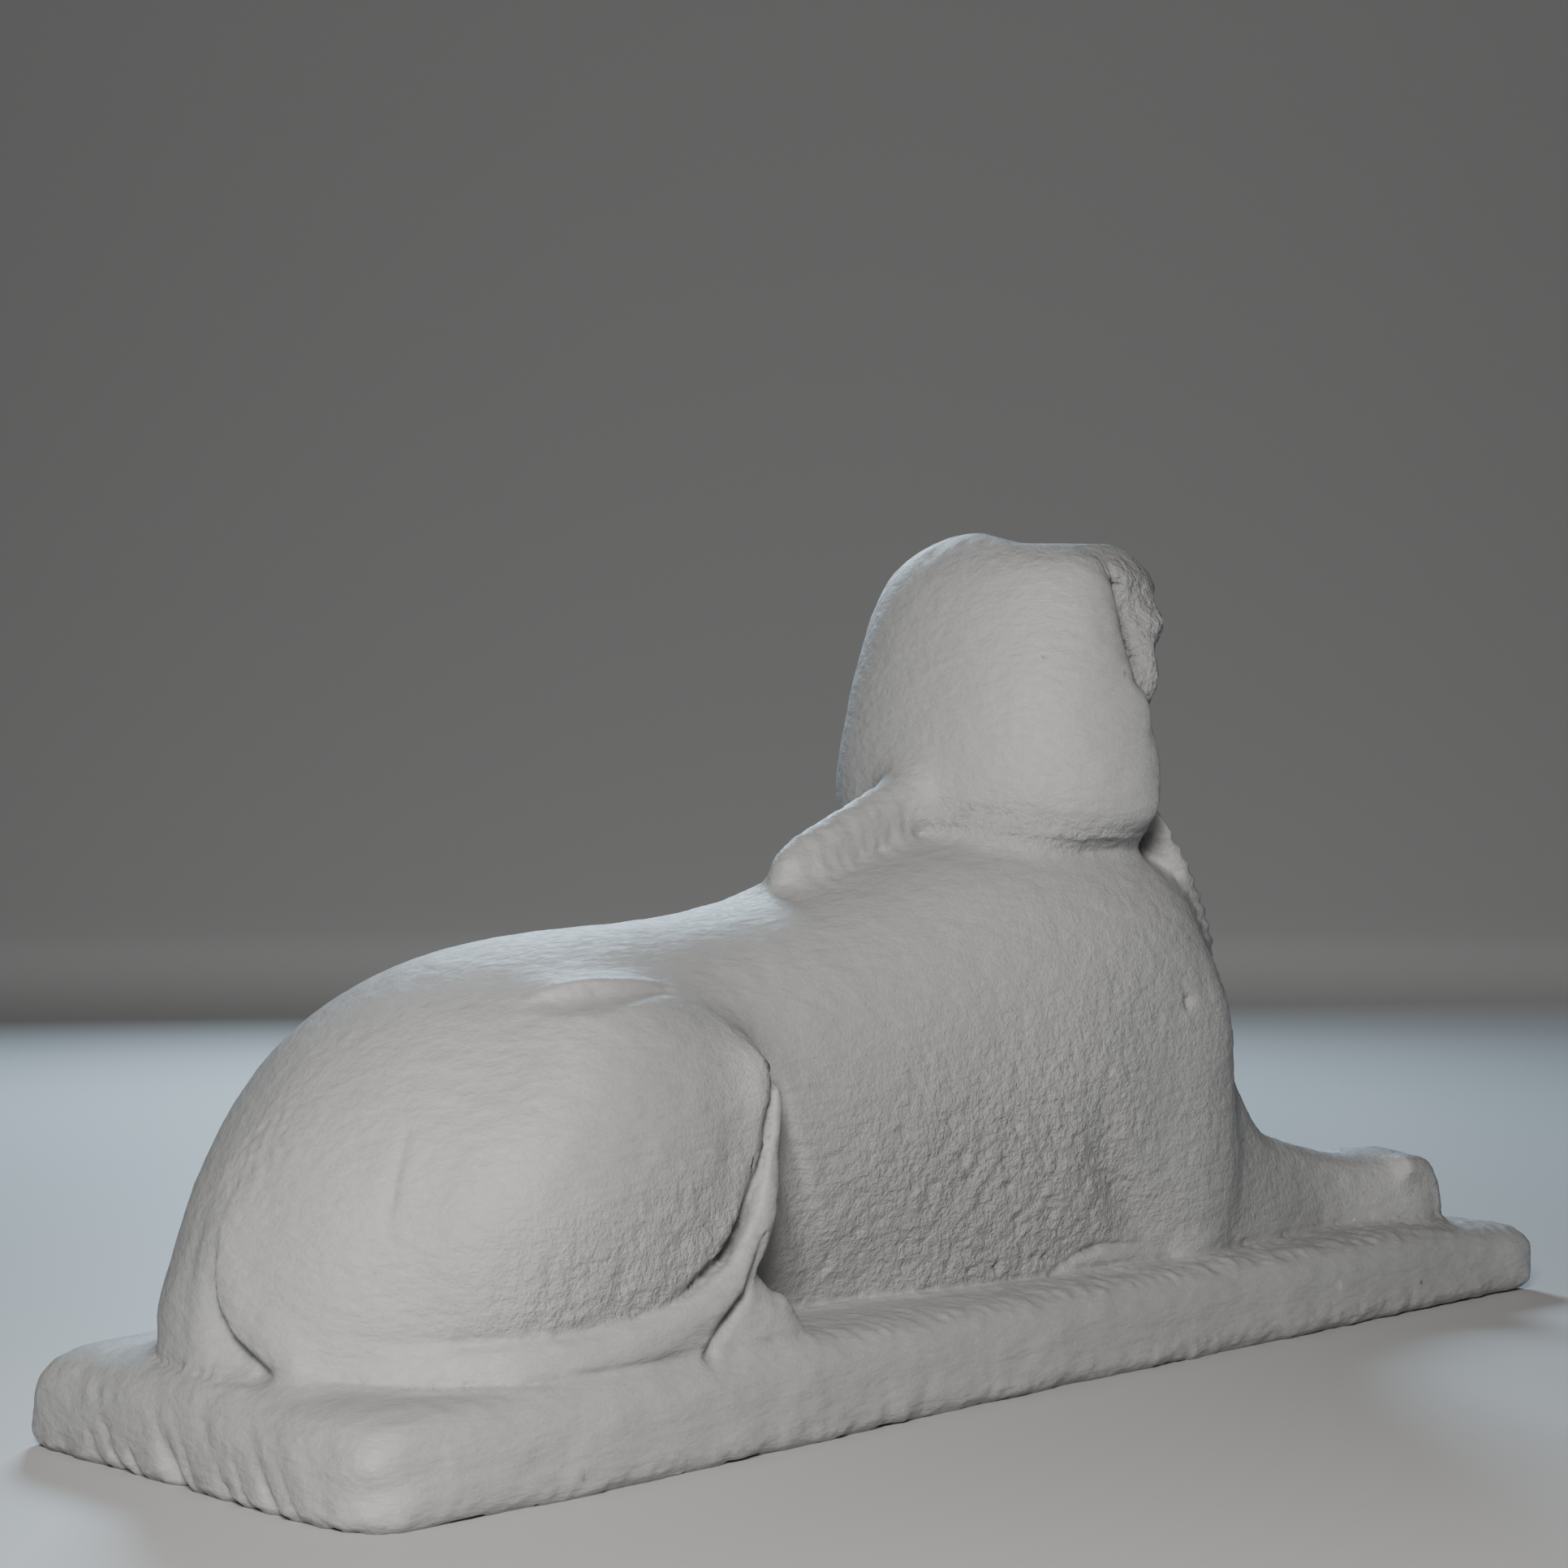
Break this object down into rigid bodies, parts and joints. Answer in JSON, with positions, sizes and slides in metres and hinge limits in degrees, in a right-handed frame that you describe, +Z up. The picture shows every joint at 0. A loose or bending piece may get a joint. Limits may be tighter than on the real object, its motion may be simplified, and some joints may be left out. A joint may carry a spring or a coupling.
{
  "type": "sphinx statue",
  "caption": "Weathered stone sphinx lying on its plinth: a lion's body with a human head in a plain hood, forelegs ahead, tail curled round the right haunch.",
  "frame": {"origin": "middle of the plinth's underside", "axes": "+Z up, -Y the way the sphinx faces, +Y its rump, +X its left side"},
  "size_m": [0.342, 1.11, 0.564],
  "materials": {
    "stone": "weathered matt grey stone, smooth on the hood and back, pitted on the lower flanks"
  },
  "bodies": {
    "root": {"sphinx_statue": "stone"}
  },
  "joints": []
}
